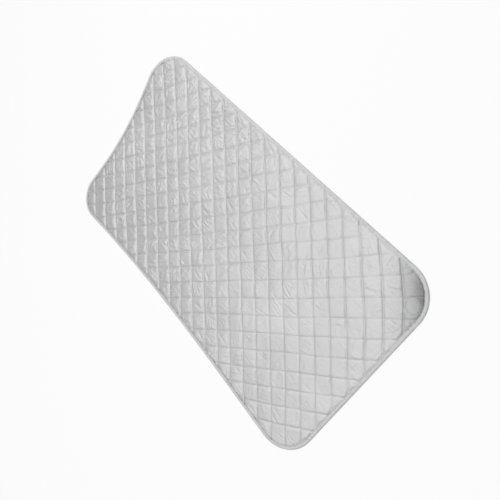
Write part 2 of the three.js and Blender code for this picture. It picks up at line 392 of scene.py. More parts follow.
# a grid several times as fine, along each way in turn: between two points runs a cubic whose slope at each
# is half the step from the point before it to the point after it
def refine(grid, times):
    for axis in (0, 1):
        grid = np.moveaxis(grid, axis, 0)
        ends = np.concatenate([grid[:1], grid, grid[-1:]])
        finer = np.empty((times * (len(grid) - 1) + 1,) + grid.shape[1:])
        finer[-1] = grid[-1]
        for k in range(times):
            t = k / times
            before, after = -t * (1 - t) ** 2 / 2, -t * t * (1 - t) / 2
            here, there = 1 - t * t * (5 - 3 * t) / 2, t * (1 + 4 * t - 3 * t * t) / 2
            finer[k:-1:times] = before * ends[:-3] + here * ends[1:-2] + there * ends[2:-1] + after * ends[3:]
        grid = np.moveaxis(finer, 0, axis)
    return grid


# a grid's heights smoothed once along both ways, each free point going halfway to its neighbours' mean
def smoothed(z, free):
    for axis in (0, 1):
        mean = (np.roll(z, 1, axis) + np.roll(z, -1, axis)) / 2
        z = np.where(free, (z + mean) / 2, z)
    return z


# materials


# two functions for a node tree: one adds a node with its settings, the other links two sockets
def nodeTools(tree):
    def add(kind, **settings):
        node = tree.nodes.new(kind)
        for key, value in settings.items():
            if hasattr(node, key):
                setattr(node, key, value)
            else:
                node.inputs[key.replace("_", " ")].default_value = value
        return node

    return add, tree.links.new


# a new material with its shader, and the two functions for its nodes
def startMaterial(name):
    material = bpy.data.materials.new(name)
    material.use_nodes = True
    shader = material.node_tree.nodes["Principled BSDF"]
    return (material, shader) + nodeTools(material.node_tree)


# a ramp from the look's dark colour to its light one, between the two ends of its span
def addRamp(add, look):
    ramp = add("ShaderNodeValToRGB")
    for k, colour in enumerate(("dark", "light")):
        ramp.color_ramp.elements[k].position = look["span"][k]
        ramp.color_ramp.elements[k].color = look[colour]
    return ramp


# waves of the warp and of the weft, put together by a math node
def addWeave(add, link, where, operation, scale, distortion=0.0):
    weave = add("ShaderNodeMath", operation=operation)
    for k, direction in enumerate("XY"):
        wave = add("ShaderNodeTexWave", bands_direction=direction, Scale=scale, Distortion=distortion)
        link(where, wave.inputs["Vector"])
        link(wave.outputs["Fac"], weave.inputs[k])
    return weave.outputs["Value"]


# a colour mixed with the look's painted shade colour, by the piece's painted shade values times the look's
# share of it
def addPaintedShade(add, link, colour, look):
    paintedShade = add("ShaderNodeAttribute", attribute_name="paintedShade")
    share = add("ShaderNodeMath", operation="MULTIPLY")
    share.inputs[1].default_value = look["paintedShadeShare"]
    tint = add("ShaderNodeMix", data_type="RGBA")  # colours go to its inputs 6 and 7 and come from output 2
    tint.inputs[7].default_value = look["paintedShadeColour"]
    link(paintedShade.outputs["Fac"], share.inputs[0])
    link(share.outputs["Value"], tint.inputs[0])
    link(colour, tint.inputs[6])
    return tint.outputs[2]


# a bump from a height, with the look's strength and depth in metres
def addBump(add, link, height, strengthAndDepth):
    bump = add("ShaderNodeBump", Strength=strengthAndDepth[0], Distance=strengthAndDepth[1])
    link(height, bump.inputs["Height"])
    return bump


silverLook = {
    "dark": (0.615, 0.614, 0.618, 1.0),
    "light": (0.681, 0.680, 0.684, 1.0),
    "span": (0.3, 0.7),
    "metallic": 0.7,
    "roughness": (0.54, 0.64),
    # colour of the painted shade, and how much of it is laid on
    "paintedShadeColour": (0.20, 0.202, 0.206, 1.0),
    "paintedShadeShare": 1.0,
    "patch": 7.0,        # noise scale of cloudy patches
    "crumple": 150.0,    # noise scale of the coating's fine creases
    "weave": 560.0,      # wave scale of the threads
    "crumpleBump": (0.85, 0.0004),
    "weaveBump": (0.18, 0.0001),
}


# silver coated cloth: cloudy patches in colour and gloss, fine creases and a weave in the bump, and painted
# shade that darkens its colour beside the binding and in the back right corner
def silverMaterial(look):
    material, shader, add, link = startMaterial("silver_cloth")
    where = add("ShaderNodeTexCoord").outputs["Object"]
    cloud = add("ShaderNodeTexNoise", Scale=look["patch"], Detail=4.0)
    ramp = addRamp(add, look)
    gloss = add("ShaderNodeMapRange", To_Min=look["roughness"][0], To_Max=look["roughness"][1])
    crumple = add("ShaderNodeTexNoise", noise_type="RIDGED_MULTIFRACTAL", Scale=look["crumple"], Detail=4.0)
    for texture in (cloud, crumple):
        link(where, texture.inputs["Vector"])
    link(cloud.outputs["Fac"], ramp.inputs["Fac"])
    link(cloud.outputs["Fac"], gloss.inputs["Value"])
    # painted shade darkens the base colour
    link(addPaintedShade(add, link, ramp.outputs["Color"], look), shader.inputs["Base Color"])
    link(gloss.outputs["Result"], shader.inputs["Roughness"])
    first = addBump(add, link, crumple.outputs["Fac"], look["crumpleBump"])
    weave = addWeave(add, link, where, "MULTIPLY", look["weave"])
    second = addBump(add, link, weave, look["weaveBump"])
    link(first.outputs["Normal"], second.inputs["Normal"])
    link(second.outputs["Normal"], shader.inputs["Normal"])
    shader.inputs["Metallic"].default_value = look["metallic"]
    return material


tapeLook = {
    "dark": (0.59, 0.593, 0.598, 1.0),
    "light": (0.72, 0.723, 0.728, 1.0),
    "span": (0.35, 0.95),
    # colour of the painted shade, and how much of it is laid on
    "paintedShadeColour": (0.20, 0.202, 0.206, 1.0),
    "paintedShadeShare": 0.6,      # share of the painted shade colour where the tape is shaded most
    "roughness": 0.62,
    "metallic": 0.15,
    "rib": 0.9,          # twill ribs per millimetre along the tape
    "ribSlant": 45.0,
    "unevenness": 0.6,   # of the ribs
    "ribShare": 0.35,    # share of the ribs in the colour
    "patch": 0.12,       # noise scale of patches, in millimetres along the tape
    "bump": (0.3, 0.00015),
}


# binding tape: slanting twill ribs along the tape's own map, in colour and bump, darker where shade is
# painted on
def tapeMaterial(look):
    material, shader, add, link = startMaterial("binding_tape")
    where = add("ShaderNodeUVMap", uv_map="tape").outputs["UV"]
    turn = add("ShaderNodeMapping")
    turn.inputs["Rotation"].default_value = (0, 0, math.radians(look["ribSlant"]))
    ribScale = look["rib"] * math.pi / 10  # a wave texture has 10 / pi waves per unit at scale 1
    ribs = add("ShaderNodeTexWave", bands_direction="X", Scale=ribScale, Distortion=look["unevenness"])
    patches = add("ShaderNodeTexNoise", Scale=look["patch"], Detail=3.0)
    mixed = add("ShaderNodeMath", operation="MULTIPLY_ADD")
    mixed.inputs[1].default_value = look["ribShare"]
    ramp = addRamp(add, look)
    link(where, turn.inputs["Vector"])
    link(turn.outputs["Vector"], ribs.inputs["Vector"])
    link(where, patches.inputs["Vector"])
    link(ribs.outputs["Fac"], mixed.inputs[0])
    link(patches.outputs["Fac"], mixed.inputs[2])
    link(mixed.outputs["Value"], ramp.inputs["Fac"])
    # painted shade darkens the base colour
    link(addPaintedShade(add, link, ramp.outputs["Color"], look), shader.inputs["Base Color"])
    bump = addBump(add, link, ribs.outputs["Fac"], look["bump"])
    link(bump.outputs["Normal"], shader.inputs["Normal"])
    shader.inputs["Roughness"].default_value = look["roughness"]
    shader.inputs["Metallic"].default_value = look["metallic"]
    return material


backingLook = {
    "dark": (0.60, 0.60, 0.59, 1.0),
    "light": (0.70, 0.70, 0.69, 1.0),
    "span": (0.1, 0.6),
    "roughness": 0.85,
    "patch": 14.0,       # noise scale of soft patches
    "weave": 420.0,      # wave scale of the threads, and how uneven they are
    "unevenness": 0.4,
    "bump": (0.35, 0.00015),
}


# plain cotton: warp and weft waves in colour and bump, with soft patches
def backingMaterial(look):
    material, shader, add, link = startMaterial("backing_cloth")
    where = add("ShaderNodeTexCoord").outputs["Object"]
    patches = add("ShaderNodeTexNoise", Scale=look["patch"], Detail=5.0)
    mixed = add("ShaderNodeMath", operation="MULTIPLY")
    ramp = addRamp(add, look)
    weave = addWeave(add, link, where, "MAXIMUM", look["weave"], look["unevenness"])
    link(where, patches.inputs["Vector"])
    link(weave, mixed.inputs[0])
    link(patches.outputs["Fac"], mixed.inputs[1])
    link(mixed.outputs["Value"], ramp.inputs["Fac"])
    link(ramp.outputs["Color"], shader.inputs["Base Color"])
    bump = addBump(add, link, weave, look["bump"])
    link(bump.outputs["Normal"], shader.inputs["Normal"])
    shader.inputs["Roughness"].default_value = look["roughness"]
    return material


threadLook = {
    "dark": (0.60, 0.602, 0.606, 1.0),
    "light": (0.76, 0.762, 0.766, 1.0),
    "span": (0.0, 1.0),
    "roughness": 0.7,
    "twist": 900.0,      # wave scale of the twist lines, and how uneven they are
    "unevenness": 1.5,
    "bump": (0.4, 0.00006),
}
ferriteLook = {
    "dark": (0.025, 0.025, 0.028, 1.0),
    "light": (0.075, 0.075, 0.08, 1.0),
    "span": (0.35, 0.75),
    "roughness": 0.55,
    "grain": 900.0,      # noise scale of the grain
    "bump": (0.3, 0.0001),
}


# a material with one texture, which gives both its colour, by the ramp, and its bump
def patternMaterial(name, look, kind, settings):
    material, shader, add, link = startMaterial(name)
    texture = add(kind, **settings)
    ramp = addRamp(add, look)
    link(add("ShaderNodeTexCoord").outputs["Object"], texture.inputs["Vector"])
    link(texture.outputs["Fac"], ramp.inputs["Fac"])
    link(ramp.outputs["Color"], shader.inputs["Base Color"])
    bump = addBump(add, link, texture.outputs["Fac"], look["bump"])
    link(bump.outputs["Normal"], shader.inputs["Normal"])
    shader.inputs["Roughness"].default_value = look["roughness"]
    return material


# sewing thread: fine slanting twist lines in colour and bump
def threadMaterial(look):
    settings = {"bands_direction": "DIAGONAL", "Scale": look["twist"], "Distortion": look["unevenness"]}
    return patternMaterial("thread", look, "ShaderNodeTexWave", settings)


# sintered ferrite: speckled dark grey with a fine pitted grain
def ferriteMaterial(look):
    return patternMaterial("magnet", look, "ShaderNodeTexNoise", {"Scale": look["grain"], "Detail": 4.0})


silverCloth = silverMaterial(silverLook)
bindingTape = tapeMaterial(tapeLook)
backingCloth = backingMaterial(backingLook)
sewingThread = threadMaterial(threadLook)
ferrite = ferriteMaterial(ferriteLook)
print("materials made")

# quilted top

topShape = {
    "steps": 8,          # grid steps a cell in the simulation
    "finer": 3,          # and how many times as fine the finished grid is
    "edgeInset": 4.0,    # the cloth ends here, under the binding
    "tuck": 1.5,         # run in which it dips under the binding
    "under": 0.95,       # height of the underside of the wadding
    "fill": 0.45,        # how full of wadding the top is
    "crownGain": (0.8, 1.25),  # spread of the crowns' heights
    "tilt": 0.15,        # lean of a cell's crown, as its height at a run from the cell's middle
    "tiltRun": 17.0,
    # pairs that hold the value at the left end and the one at the right end
    "plump": (3.0, 2.5),         # height of the crowns over the seams
    "soft": (0.8, 0.38),         # the smaller, the steeper the cloth beside the seams
    "fallingLift": (0.0, 1.5),   # height of the cloth on seams that are sewn less tightly
    "risingLift": (0.3, 1.5),
    "fallingSink": (0.9, 0.2),   # the thread draws the cloth in along the seam itself
    "risingSink": (0.8, 0.2),
    "relief": (2.7, 0.6),        # gain of the creases
    "puckerRelief": (1.0, 0.15),  # and of the puckers
    "liftReach": 5.0,    # reach of a lift from its seam
    "liftRun": 4.0,      # run in which it grows from the other seams and the binding
    "sinkWidth": 1.2,
    "creaseRise": 1.3,   # the greater, the nearer to the seams the creases are full
    "mostCrease": 1.5,   # no crease is higher or deeper than this
    "sway": 0.35,        # height of slow waves from cell to cell
    "swayLengths": (28, 80),
    "rimBump": 0.28,     # height of the bumps beside the binding
    "rimBumpLengths": (4.5, 9),
    "rimBumpRun": 7.0,
    "lipLift": 0.6,      # height of the cloth beside the binding over its seams
    "lipLiftRun": 2.5,
    "cornerSink": 1.3,   # the falling seams are sewn deeper by this much near the back right corner
    "cornerRelief": 1.7,  # and the creases are higher there
    "cornerReach": 150.0,
}
settleSetup = {
    "start": 0.85,       # share of the crown that the cloth starts with
    "growth": 0.010,     # slack of the cloth between its seams
    "pressure": 4.0,     # push of the wadding
    "frames": 16,
    "mostMove": 3.2,
    "heldWithin": 0.01,  # points this near to a seam are held
    "quality": 5,
    "mass": 0.3,
    "stretch": 20,
    "shear": 8,
    "bending": 4,
}
foldLines = (
    {
        "across": 0, "at": -284.0, "band": 30.0, "pitch": 7.6, "height": 1.9,
        "spans": ((60, 230), (-195, -95)),
    },
    {"across": 0, "at": 271.0, "band": 17.0, "pitch": 7.4, "height": 1.0, "spans": ((-200, -70),)},
    {"across": 1, "at": 2.0, "band": 32.0, "pitch": 5.9, "height": 0.9, "spans": ((-430, 300),)},
)
foldRipple = {
    "pitchSpread": (0.8, 1.6),
    "gainShape": (0.9, 0.9),     # of a beta distribution
    "breakLengths": (14, 40),
    "breakLevel": 0.6,
    "breakSwing": 0.6,
    "mostGain": 1.4,
    "skew": 0.35,
    "bendLengths": (20, 50),
    "spanFade": 20.0,
}


# ripples beside the creases of the pack: cos(2 pi d / pitch + phase) under a bell over the band, d being the
# distance to the crease, along the spans in which they show; pitch, phase and gain change from cell to cell,
# and waves bend and break the ripples
def foldRipples(p, q, x, y, rng, ripple=foldRipple):
    total = np.zeros_like(x)
    for fold in foldLines:
        phase = perCell(rng.uniform(0, 2 * np.pi, allCells), p, q)
        pitch = fold["pitch"] * perCell(rng.uniform(*ripple["pitchSpread"], allCells), p, q)
        gain = perCell(rng.beta(*ripple["gainShape"], allCells), p, q)
        breaks = ripple["breakSwing"] * randomWaves(x, y, rng, *ripple["breakLengths"])
        gain = gain * np.clip(ripple["breakLevel"] + breaks, 0, ripple["mostGain"])
        skew = perCell(rng.uniform(-ripple["skew"], ripple["skew"], allCells), p, q)
        away = (y if fold["across"] else x) - fold["at"]
        along = x if fold["across"] else y
        bent = away + skew * along + randomWaves(x, y, rng, *ripple["bendLengths"])
        shows = sum(
            smoothStep((along - start) / ripple["spanFade"]) * smoothStep((end - along) / ripple["spanFade"])
            for start, end in fold["spans"]
        )
        wave = shows * np.cos(2 * np.pi * bent / pitch + phase)
        total += fold["height"] * gain * wave * bell(away, fold["band"])
    return total


crumple = {
    # sets of creases in the coating: how many, their least and greatest spacing, and their height
    "sets": ((2, (8.0, 15.0), 0.40), (4, (4.2, 8.0), 0.34)),
    "gainShape": (0.8, 1.0),     # of a beta distribution
    "bend": 0.012,
}


# creases of the coated cloth in each cell: ridges (1 - |sin|)^2 along a few slightly bent lines with their
# own direction, spacing and sign, scaled by a gain that leaves many cells nearly smooth
def crumples(p, q, rng, count, spacings, height):
    u, v = inCell(p, q)
    gain = perCell(rng.beta(*crumple["gainShape"], allCells), p, q)
    total = np.zeros_like(p)
    for _ in range(count):
        angle = perCell(rng.uniform(0, np.pi, allCells), p, q)
        spacing = perCell(rng.uniform(*spacings, allCells), p, q)
        phase = perCell(rng.uniform(0, np.pi, allCells), p, q)
        bend = perCell(rng.normal(0, crumple["bend"], allCells), p, q)
        sign = perCell(rng.choice([-1.0, 1.0], allCells), p, q)
        s = u * np.cos(angle) + v * np.sin(angle)
        t = v * np.cos(angle) - u * np.sin(angle)
        ridge = 1 - np.abs(np.sin(np.pi * (s + bend * t * t) / spacing + phase))
        total += sign * ridge ** 2
    return height * gain * total


strayWrinkle = {
    "count": 3,
    "ways": (0.25, 0.75),  # along and across the pad, as shares of half a turn from the rising way
    "turn": 0.35,
    "offset": 12.0,
    "slide": 9.0,
    "width": (0.8, 1.5),
    "length": (6.0, 15.0),
    "height": 0.75,
}


# stray wrinkles inside each cell: ridges 1 / (1 + (s / w)^2), s being the distance to a straight line
# through the cell, fading along the line as a bell
def strayWrinkles(p, q, rng, wrinkle=strayWrinkle):
    u, v = inCell(p, q)
    total = np.zeros_like(p)
    for _ in range(wrinkle["count"]):
        way = rng.choice(wrinkle["ways"], allCells) * np.pi
        angle = perCell(way + rng.normal(0, wrinkle["turn"], allCells), p, q)
        offset = perCell(rng.uniform(-wrinkle["offset"], wrinkle["offset"], allCells), p, q)
        slide = perCell(rng.uniform(-wrinkle["slide"], wrinkle["slide"], allCells), p, q)
        width = perCell(rng.uniform(*wrinkle["width"], allCells), p, q)
        length = perCell(rng.uniform(*wrinkle["length"], allCells), p, q)
        height = perCell(rng.normal(0, wrinkle["height"], allCells), p, q)
        s = u * np.cos(angle) + v * np.sin(angle) - offset
        t = v * np.cos(angle) - u * np.sin(angle) - slide
        total += height * bell(t, length) / (1 + (s / width) ** 2)
    return total


seamPucker = {
    "height": 0.6,
    "lengths": (4.6, 5.7, 7.3, 9.8),
    "fade": 4.0,   # run in which the puckers fade from the seam
    "start": 1.0,  # and in which they begin beside it
}


# puckers across each seam: a sum of sines with random phases along the seam, times exp(-d / fade) and
# 1 - exp(-d / start), d being the distance to it
def seamPuckers(p, q, rng, pucker=seamPucker):
    seams = 2 * quilt["reach"] + 1
    total = np.zeros_like(p)
    toFalling, toRising = seamDistance(p, q)
    falling, rising = nearestSeams(p, q)
    families = (
        (q * quilt["fallingCell"], falling, toFalling),
        (p * quilt["risingCell"], rising, toRising),
    )
    for along, seam, away in families:
        row = seam.astype(int) + quilt["reach"]
        wave = np.zeros_like(p)
        for length in pucker["lengths"]:
            phase = rng.uniform(0, 2 * np.pi, seams)[row]
            wave += np.sin(2 * np.pi * along / length + phase)
        fading = np.exp(-away / pucker["fade"]) * (1 - np.exp(-away / pucker["start"]))
        total += pucker["height"] * wave / 2 * fading
    return total


# the cloth settled by simulation: held along the seams and under the binding, a little larger than its place
# and pushed up by the wadding, each point moving no farther than a set distance
def settleCloth(points, faces, held, setup):
    mesh = bpy.data.meshes.new("settling")
    mesh.from_pydata(points * mm, [], faces.tolist())
    cloth = bpy.data.objects.new("settling", mesh)
    scene.collection.objects.link(cloth)
    seams = cloth.vertex_groups.new(name="seams")
    seams.add(np.flatnonzero(held).tolist(), 1.0, "REPLACE")
    modifier = cloth.modifiers.new("settle", "CLOTH")
    settings = modifier.settings
    settings.quality = setup["quality"]
    settings.mass = setup["mass"]
    settings.tension_stiffness = settings.compression_stiffness = setup["stretch"]
    settings.shear_stiffness = setup["shear"]
    settings.bending_stiffness = setup["bending"]
    settings.effector_weights.gravity = 0
    settings.use_pressure = True
    settings.uniform_pressure_force = setup["pressure"]
    settings.vertex_group_mass = "seams"
    settings.shrink_min = -setup["growth"]
    modifier.collision_settings.use_collision = False
    for step in range(1, setup["frames"] + 1):
        scene.frame_set(step)
    settled = cloth.evaluated_get(bpy.context.evaluated_depsgraph_get()).data
    found = np.empty(3 * len(settled.vertices))
    settled.vertices.foreach_get("co", found)
    move = found.reshape(-1, 3) / mm - points
    far = np.linalg.norm(move, axis=1, keepdims=True)
    move *= np.minimum(1, setup["mostMove"] / np.maximum(far, 1e-9))
    scene.frame_set(1)
    bpy.data.objects.remove(cloth)
    bpy.data.meshes.remove(mesh)
    return points + move


magnetMark = {
    "radius": 12.4,
    "level": 4.9,
    "edge": 0.5,      # softness of the disc's edge
    "rim": 0.8,       # height, width and place of the raised rim, from the radius
    "rimWidth": 0.9,
    "rimAt": -0.4,
    "moat": 1.5,      # depth, width and place of the moat
    "moatWidth": 1.6,
    "moatAt": 2.6,
    "mostPower": 60,  # keeps the exponential within range
    # how plainly each magnet shows through the cloth
    "shows": {"back_right": 1.0, "back_left": 0.55, "front_left": 0.45, "front_right": 0.45},
}


# distance to a magnet's middle
def fromMagnet(name, x, y):
    low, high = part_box("magnet_" + name)
    middle = [(low[k] + high[k]) / 2 / mm for k in (0, 1)]
    return np.hypot(x - middle[0], y - middle[1])


# the cloth over a magnet: drawn to a level disc by 1 / (1 + exp(d / edge)), d being the distance beyond the
# radius, with a raised rim and a moat outside it that are bells of d
def pressMagnets(x, y, z, mark=magnetMark):
    for name, shows in mark["shows"].items():
        beyond = fromMagnet(name, x, y) - mark["radius"]
        share = shows / (1 + np.exp(np.minimum(beyond / mark["edge"], mark["mostPower"])))
        z = z + share * (mark["level"] - z)
        z = z + shows * mark["rim"] * bell(beyond - mark["rimAt"], mark["rimWidth"])
        z = z - shows * mark["moat"] * bell(beyond - mark["moatAt"], mark["moatWidth"])
    return z


rightPart = {
    "from": -230.0,      # the cloth goes from crinkled to smooth from here on
    "run": 550.0,
    "frontFrom": -50.0,  # in front of here it does so farther to the right
    "frontLag": 1.3,
}


# 0 at the left end and 1 at the right end, on a smooth step that lies farther right along the front
def shareOfRight(x, y, part=rightPart):
    lag = part["frontLag"] * np.minimum(y - part["frontFrom"], 0)
    return smoothStep((x + lag - part["from"]) / part["run"])


# a value that goes from one at the left end to another at the right end
def leftToRight(ends, toRight):
    return ends[0] + (ends[1] - ends[0]) * toRight


# flat crowns with steep sides: lift + (plump - lift) * (1 - exp(-h / soft)) over the seams, h being the
# settled cloth's height over them; lift is that of the loosely sewn seams, a bell from the seam, and less
# near the other seams and the binding by 1 - exp(-d / run)
def plumped(z, toRight, toFalling, toRising, toLip, shape):
    h = np.maximum(z - quilt["seamHeight"], 0)
    lift = 0
    families = ((shape["risingLift"], toFalling, toRising), (shape["fallingLift"], toRising, toFalling))
    for ends, toOther, toSeam in families:
        grown = 1 - np.exp(-toOther / shape["liftRun"])
        lift = lift + leftToRight(ends, toRight) * grown * bell(toSeam, shape["liftReach"])
    lift = lift * (1 - np.exp(-toLip / shape["liftRun"]))
    risen = 1 - np.exp(-h / leftToRight(shape["soft"], toRight))
    return quilt["seamHeight"] + lift + (leftToRight(shape["plump"], toRight) - lift) * risen


# painted shade on the cloth beside the tape and in the back right corner
clothShadePaint = {
    "edge": 0.12,
    "edgeRun": 6.0,
    "corner": 1.0,
    "cornerRun": 34.0,
    "cornerPlace": (404.0, 206.0),
    "cornerReach": 58.0,
    "most": 0.8,
    "onMagnet": 0.8,      # share of the corner's painted shade that the magnet's mark keeps
    "markMargin": 2.0,
    "markFade": 3.0,
}


# painted shade on the cloth beside the tape: exp(-d / run) in from the tape along the front and the left end,
# where the tape's lip shades it, and a darker painted shade in the back right corner, fading as a bell, but
# less on the magnet
def paintedClothShade(x, y, paint=clothShadePaint):
    toLip = np.maximum(edgeDistance(x, y) - quilt["lip"], 0)
    inMark = magnetMark["radius"] + paint["markMargin"] - fromMagnet("back_right", x, y)
    offMagnet = 1 + (paint["onMagnet"] - 1) * smoothStep(inMark / paint["markFade"])
    fromPlace = np.hypot(x - paint["cornerPlace"][0], y - paint["cornerPlace"][1])
    corner = paint["corner"] * np.exp(-(fromPlace / paint["cornerReach"]) ** 2 - toLip / paint["cornerRun"])
    edge = paint["edge"] * frontOrLeft(x, y) * np.exp(-toLip / paint["edgeRun"])
    return np.minimum(edge + corner * offMagnet, paint["most"])


def settledGrid(shape, setup, rng):
    p, q, x, y = quiltGrid(shape["steps"])
    gain = perCell(rng.uniform(*shape["crownGain"], allCells), p, q)
    u, v = inCell(p, q)
    lean = perCell(rng.normal(0, 1, allCells), p, q) * u + perCell(rng.normal(0, 1, allCells), p, q) * v
    start = setup["start"]
    crown = quilt["crown"] * start * gain + shape["tilt"] * lean / shape["tiltRun"]
    z = quilt["seamHeight"] + fullness(p, q, x, y) * crown
    grid = np.stack([x, y, z], axis=-1)
    distance = edgeDistance(x, y)
    keep = distance > shape["edgeInset"]
    faces, _ = gridFaces(keep)
    used, faces = compact(faces)
    flat = grid.reshape(-1, 3)
    toFalling, toRising = seamDistance(p, q)
    held = (np.minimum(toFalling, toRising) < setup["heldWithin"]) | (distance < quilt["lip"])
    flat[used] = settleCloth(flat[used], faces, held.ravel()[used], setup)
    grid[..., 2] = smoothed(grid[..., 2], keep & ~held)
    print("cloth settled:", len(used), "points")
    return grid


# height of the finished cloth: the settled one plumped, with creases, slow waves, bumps beside the binding
# and puckers added, the seams drawn in as bells, the magnets pressed in, and the edge dipping under the tape
def finishedHeight(settled, p, q, x, y, shape, rng):
    toFalling, toRising = seamDistance(p, q)
    distance = edgeDistance(x, y)
    toLip = np.maximum(distance - quilt["lip"], 0)
    toRight = shareOfRight(x, y)
    inCorner = nearCorner(x, y, shape["cornerReach"])
    full = np.minimum(np.sqrt(fullness(p, q, x, y)) * shape["creaseRise"], 1)
    creases = strayWrinkles(p, q, rng)
    for count, spacings, height in crumple["sets"]:
        creases = creases + crumples(p, q, rng, count, spacings, height)
    relief = leftToRight(shape["relief"], toRight) + shape["cornerRelief"] * inCorner
    creases = relief * creases + foldRipples(p, q, x, y, rng)
    creases = full * shape["mostCrease"] * np.tanh(creases / shape["mostCrease"])
    creases = creases + full * shape["sway"] * randomWaves(x, y, rng, *shape["swayLengths"])
    bumps = shape["rimBump"] * randomWaves(x, y, rng, *shape["rimBumpLengths"])
    puckers = leftToRight(shape["puckerRelief"], toRight) * seamPuckers(p, q, rng)
    z = plumped(settled, toRight, toFalling, toRising, toLip, shape)
    z = z + creases + puckers + bumps * bell(toLip, shape["rimBumpRun"])
    sink = leftToRight(shape["fallingSink"], toRight) + shape["cornerSink"] * inCorner
    z = z - sink * bell(toFalling, shape["sinkWidth"])
    z = z - leftToRight(shape["risingSink"], toRight) * bell(toRising, shape["sinkWidth"])
    z = z + shape["lipLift"] * np.exp(-toLip / shape["lipLiftRun"])
    z = pressMagnets(x, y, z)
    out = shareBetween(distance, (quilt["lip"] - shape["tuck"], quilt["lip"]))
    return quilt["seamHeight"] + (z - quilt["seamHeight"]) * out


# the padded top: the finished cloth cut at its inset, with a wall down to the underside of the wadding and a
# flat face that closes it
def makeQuiltedTop(shape, setup):
    rng = np.random.default_rng(quilt["seed"])
    grid = refine(settledGrid(shape, setup, rng), shape["finer"])
    p, q, x, y = quiltGrid(shape["finer"] * shape["steps"])
    z = finishedHeight(grid[..., 2], p, q, x, y, shape, rng)
    faces, edges = gridFaces(edgeDistance(x, y) > shape["edgeInset"])
    used, faces, edges = compact(faces, edges)
    points = np.stack([grid[..., 0], grid[..., 1], z], axis=-1).reshape(-1, 3)[used]
    rim = np.unique(edges)
    points[rim, 0], points[rim, 1] = snapToInset(points[rim, 0], points[rim, 1], shape["edgeInset"])
    points[rim, 2] = quilt["seamHeight"]
    below = points[rim].copy()
    below[:, 2] = shape["under"]
    lower = np.full(len(points), -1)
    lower[rim] = len(points) + np.arange(len(rim))
    wall = np.stack([edges[:, 1], edges[:, 0], lower[edges[:, 0]], lower[edges[:, 1]]], axis=-1)
    points = np.concatenate([points, below])
    piece = addPiece("quilted_top", points, [faces, wall], silverCloth)
    work = bmesh.new()
    work.from_mesh(piece.data)
    bmesh.ops.holes_fill(work, edges=[edge for edge in work.edges if edge.is_boundary], sides=0)
    bmesh.ops.triangulate(work, faces=[face for face in work.faces if len(face.verts) > 4])
    work.to_mesh(piece.data)
    work.free()
    # painted shade of the cloth, kept per point for its material
    paintedShade = paintedClothShade(points[:, 0], points[:, 1])
    paintedShade[len(used):] = 0  # the underside gets no painted shade
    addPointValues(piece, "paintedShade", paintedShade)
    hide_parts("top_cover", "wadding")
    return piece, z


quiltedTop, topHeight = makeQuiltedTop(topShape, settleSetup)
print("quilted top made:", len(quiltedTop.data.polygons), "faces")

# backing cloth

backingShape = {
    "steps": 8,
    "edgeInset": 3.5,
    "thickness": 0.4,
    "seamRise": 0.5,
    "rimRise": 0.75,
    "rimRun": (13.0, 9.0),  # insets at which it starts to rise to the rim and has risen
    "flat": (0.457, 0.842),  # its size in metres before it is cut to the outline
}


# the backing hangs in shallow puffs below its seams: seamRise * (1 - fullness), and lifts onto the tape's
# lower lip near the edge on a smooth step
def makeBacking(shape):
    p, q, x, y = quiltGrid(shape["steps"])
    distance = edgeDistance(x, y)
    lifted = smoothStep(shareBetween(distance, shape["rimRun"]))
    low = shape["seamRise"] * (1 - fullness(p, q, x, y))
    low = low * (1 - lifted) + shape["rimRise"] * lifted
    faces, edges = gridFaces(distance > shape["edgeInset"])
    used, faces, edges = compact(faces, edges)
    points = np.stack([x, y, low], axis=-1).reshape(-1, 3)[used]
    rim = np.unique(edges)
    points[rim, 0], points[rim, 1] = snapToInset(points[rim, 0], points[rim, 1], shape["edgeInset"])
    upper = points + (0, 0, shape["thickness"])
    count = len(points)
    wall = np.stack([edges[:, 1] + count, edges[:, 0] + count, edges[:, 0], edges[:, 1]], axis=-1)
    shell = [faces[:, ::-1], faces + count, wall]
    piece = addPiece("backing_cloth", np.concatenate([points, upper]), shell, backingCloth)
    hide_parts("backing")
    return piece


backing = makeBacking(backingShape)
print("backing made:", len(backing.data.polygons), "faces")

# binding tape

bindingShape = {
    "thickness": 0.5,
    "arcSteps": 75,
    "sideStep": 1.5,
    "pucker": 0.6,
    "puckerPitch": (5.3, 8.1),
    "puckerTop": (3.5, 4.5),    # heights between which the puckers come in
    "puckerInset": (1.0, 4.0),  # and insets
    "wanderWaves": 39,          # waves round the outline that put the puckers out of step
    "wander": 1.6,
    "strength": 0.6,            # mean of the puckers' strength, and its swings round the outline
    "strengthSwing": 0.4,
    "strengthWaves": 23,
    "strengthPhase": 1.0,
    "stitchInset": 6.2,
    "stitchHold": 0.8,          # share of a pucker that the stitching holds down, and the width of that
    "stitchWidth": 0.8,
    "seed": 5,
    # middle of the tape in section, from its inner edge underneath round the fold to its inner edge on top:
    # inset from the pad's edge and height
    "section": (
        (8.0, 0.25), (6.4, 0.25), (4.9, 0.25), (3.6, 0.27), (2.4, 0.42), (1.4, 0.8), (0.7, 1.35),
        (0.32, 2.0), (0.26, 2.65), (0.5, 3.3), (1.05, 3.9), (1.8, 4.38), (2.7, 4.7), (3.7, 4.86),
        (4.6, 4.84), (5.4, 4.66), (6.2, 4.42), (6.9, 4.52), (7.5, 4.7), (8.0, 4.66),
    ),
}
# painted shade on the tape's fold, its upper lip and the valleys of its puckers
tapeShadePaint = {
    "sideHeight": 1.9,          # painted shade on the fold's outer side round this height
    "sideWidth": 1.25,
    "sideInset": 2.2,
    "side": (0.02, 0.80),       # at the back and right, and at the front and left
    "lipInset": 7.6,            # and the upper lip round this inset
    "lipWidth": 1.2,
    "lipHeight": 3.5,
    "lip": (0.0, 0.3),
    "valley": 0.8,              # more painted shade in the valleys of the puckers
}


